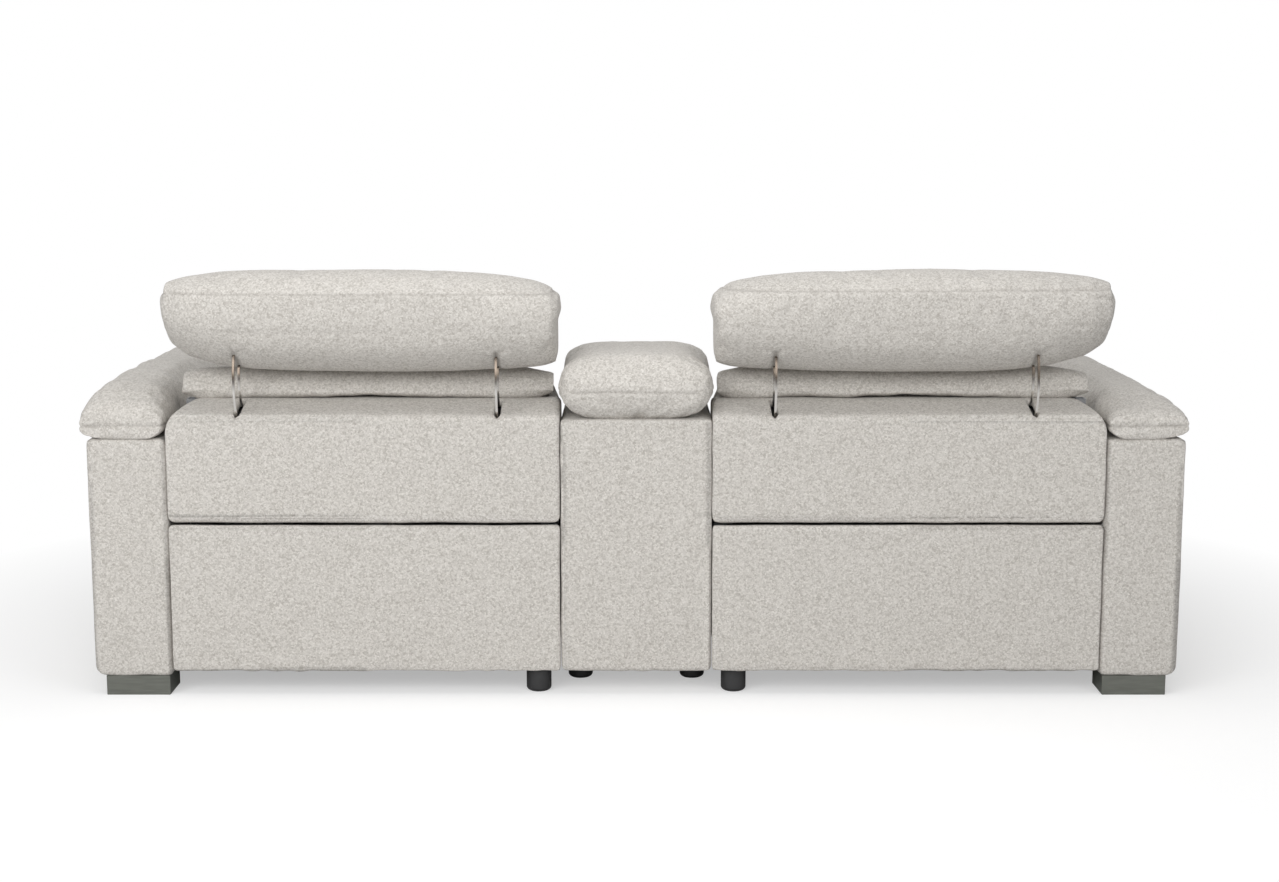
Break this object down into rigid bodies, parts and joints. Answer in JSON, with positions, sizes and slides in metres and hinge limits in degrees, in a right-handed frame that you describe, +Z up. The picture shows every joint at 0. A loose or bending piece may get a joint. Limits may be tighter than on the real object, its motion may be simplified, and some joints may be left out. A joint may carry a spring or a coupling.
{
  "type": "reclining sofa with console",
  "caption": "Reclining fabric sofa with a padded storage console between the seats, folding headrests, footrests and low feet.",
  "frame": {"origin": "on the floor, at the middle of the whole outline's width and depth", "axes": "+Z up, the seats face -Y, and the sitter's left is +X"},
  "size_m": [2.25, 1, 0.8757],
  "materials": {
    "fabric": "woven",
    "chrome": "polished",
    "gunmetal": "satin",
    "black_plastic": "matte",
    "grey_plastic": "matte",
    "steel": "satin",
    "timber": "raw",
    "spring_steel": "drawn"
  },
  "bodies": {
    "base": {"arm_shell_left": "fabric", "arm_shell_right": "fabric", "arm_pad_left": "fabric", "arm_pad_right": "fabric", "block_feet": "gunmetal", "round_feet": "black_plastic", "base_rails": "steel", "base_tubes": "steel", "foot_plates": "steel", "rear_panel_left": "fabric", "rear_panel_right": "fabric", "console_shell": "fabric", "console_bin": "black_plastic", "cup_holders": "chrome", "console_rear_pad": "fabric", "lid_hinge": "steel", "switch_plates": "black_plastic", "drive_motor_left": "black_plastic", "drive_motor_right": "black_plastic"},
    "lid": {"lid_board": "timber", "lid_leaf": "steel", "lid_pad": "fabric"},
    "switch_left": {"recline_switch_left": "grey_plastic"},
    "seat_left": {"seat_frame_left": "timber", "seat_springs_left": "spring_steel", "seat_cushion_left": "fabric", "side_plates_left": "steel", "drive_rod_left": "chrome"},
    "back_left": {"back_frame_left": "steel", "back_shell_left": "fabric", "back_cushion_left": "fabric", "neck_roll_left": "fabric"},
    "headrest_left": {"headrest_bars_left": "chrome", "headrest_brackets_left": "steel", "headrest_pad_left": "fabric"},
    "lower_link_left": {"lower_links_left": "steel"},
    "rear_link_left": {"rear_links_left": "steel"},
    "upper_link_left": {"upper_links_left": "steel"},
    "footrest_left": {"footrest_board_left": "timber", "footrest_brackets_left": "steel", "footrest_pad_left": "fabric"},
    "switch_right": {"recline_switch_right": "grey_plastic"},
    "seat_right": {"seat_frame_right": "timber", "seat_springs_right": "spring_steel", "seat_cushion_right": "fabric", "side_plates_right": "steel", "drive_rod_right": "chrome"},
    "back_right": {"back_frame_right": "steel", "back_shell_right": "fabric", "back_cushion_right": "fabric", "neck_roll_right": "fabric"},
    "headrest_right": {"headrest_bars_right": "chrome", "headrest_brackets_right": "steel", "headrest_pad_right": "fabric"},
    "lower_link_right": {"lower_links_right": "steel"},
    "rear_link_right": {"rear_links_right": "steel"},
    "upper_link_right": {"upper_links_right": "steel"},
    "footrest_right": {"footrest_board_right": "timber", "footrest_brackets_right": "steel", "footrest_pad_right": "fabric"}
  },
  "joints": [
    {"name": "console_lid", "type": "hinge", "parent": "base", "child": "lid", "pos_m": [0, 0.106, 0.651], "axis": [-1, 0, 0], "range_deg": [0, 75]},
    {"name": "seat_glide_left", "type": "slide", "parent": "base", "child": "seat_left", "axis": [0, -1, 0], "range_m": [0, 0.12]},
    {"name": "recline_left", "type": "hinge", "parent": "seat_left", "child": "back_left", "pos_m": [0.556, 0.29, 0.33], "axis": [-1, 0, 0], "range_deg": [0, 30.01]},
    {"name": "headrest_tilt_left", "type": "hinge", "parent": "back_left", "child": "headrest_left", "pos_m": [0.556, 0.312, 0.652], "axis": [-1, 0, 0], "range_deg": [0, 45]},
    {"name": "lower_link_swing_left", "type": "hinge", "parent": "seat_left", "child": "lower_link_left", "pos_m": [0.556, -0.34, 0.305], "axis": [-1, 0, 0], "range_deg": [0, 160.1]},
    {"name": "rear_link_swing_left", "type": "hinge", "parent": "seat_left", "child": "rear_link_left", "pos_m": [0.556, -0.341, 0.267], "axis": [-1, 0, 0], "range_deg": [0, 148.4]},
    {"name": "upper_link_swing_left", "type": "hinge", "parent": "lower_link_left", "child": "upper_link_left", "pos_m": [0.556, -0.15415, 0.2655], "axis": [-1, 0, 0], "range_deg": [-114.1, 0]},
    {"name": "footrest_swing_left", "type": "hinge", "parent": "upper_link_left", "child": "footrest_left", "pos_m": [0.556, -0.37489, 0.14813], "axis": [-1, 0, 0], "range_deg": [0, 44.1]},
    {"name": "recline_rocker_left", "type": "hinge", "parent": "base", "child": "switch_left", "pos_m": [0.9605, -0.285, 0.507], "axis": [0, 0, 1], "range_deg": [-5, 5], "stiffness_Nm_per_rad": 0.3},
    {"name": "seat_glide_right", "type": "slide", "parent": "base", "child": "seat_right", "axis": [0, -1, 0], "range_m": [0, 0.12]},
    {"name": "recline_right", "type": "hinge", "parent": "seat_right", "child": "back_right", "pos_m": [-0.556, 0.29, 0.33], "axis": [-1, 0, 0], "range_deg": [0, 30.01]},
    {"name": "headrest_tilt_right", "type": "hinge", "parent": "back_right", "child": "headrest_right", "pos_m": [-0.556, 0.312, 0.652], "axis": [-1, 0, 0], "range_deg": [0, 45]},
    {"name": "lower_link_swing_right", "type": "hinge", "parent": "seat_right", "child": "lower_link_right", "pos_m": [-0.556, -0.34, 0.305], "axis": [-1, 0, 0], "range_deg": [0, 160.1]},
    {"name": "rear_link_swing_right", "type": "hinge", "parent": "seat_right", "child": "rear_link_right", "pos_m": [-0.556, -0.341, 0.267], "axis": [-1, 0, 0], "range_deg": [0, 148.4]},
    {"name": "upper_link_swing_right", "type": "hinge", "parent": "lower_link_right", "child": "upper_link_right", "pos_m": [-0.556, -0.15415, 0.2655], "axis": [-1, 0, 0], "range_deg": [-114.1, 0]},
    {"name": "footrest_swing_right", "type": "hinge", "parent": "upper_link_right", "child": "footrest_right", "pos_m": [-0.556, -0.37489, 0.14813], "axis": [-1, 0, 0], "range_deg": [0, 44.1]},
    {"name": "recline_rocker_right", "type": "hinge", "parent": "base", "child": "switch_right", "pos_m": [-0.9605, -0.285, 0.507], "axis": [0, 0, 1], "range_deg": [-5, 5], "stiffness_Nm_per_rad": 0.3}
  ],
  "couplings": [
    {"joint": "recline_left", "follows": "seat_glide_left", "rad_per_m": 4.3633},
    {"joint": "lower_link_swing_left", "follows": "seat_glide_left", "rad_per_m": 23.271},
    {"joint": "rear_link_swing_left", "follows": "seat_glide_left", "rad_per_m": 21.562},
    {"joint": "upper_link_swing_left", "follows": "seat_glide_left", "rad_per_m": -16.581},
    {"joint": "footrest_swing_left", "follows": "seat_glide_left", "rad_per_m": 6.3995},
    {"joint": "recline_right", "follows": "seat_glide_right", "rad_per_m": 4.3633},
    {"joint": "lower_link_swing_right", "follows": "seat_glide_right", "rad_per_m": 23.271},
    {"joint": "rear_link_swing_right", "follows": "seat_glide_right", "rad_per_m": 21.562},
    {"joint": "upper_link_swing_right", "follows": "seat_glide_right", "rad_per_m": -16.581},
    {"joint": "footrest_swing_right", "follows": "seat_glide_right", "rad_per_m": 6.3995}
  ]
}
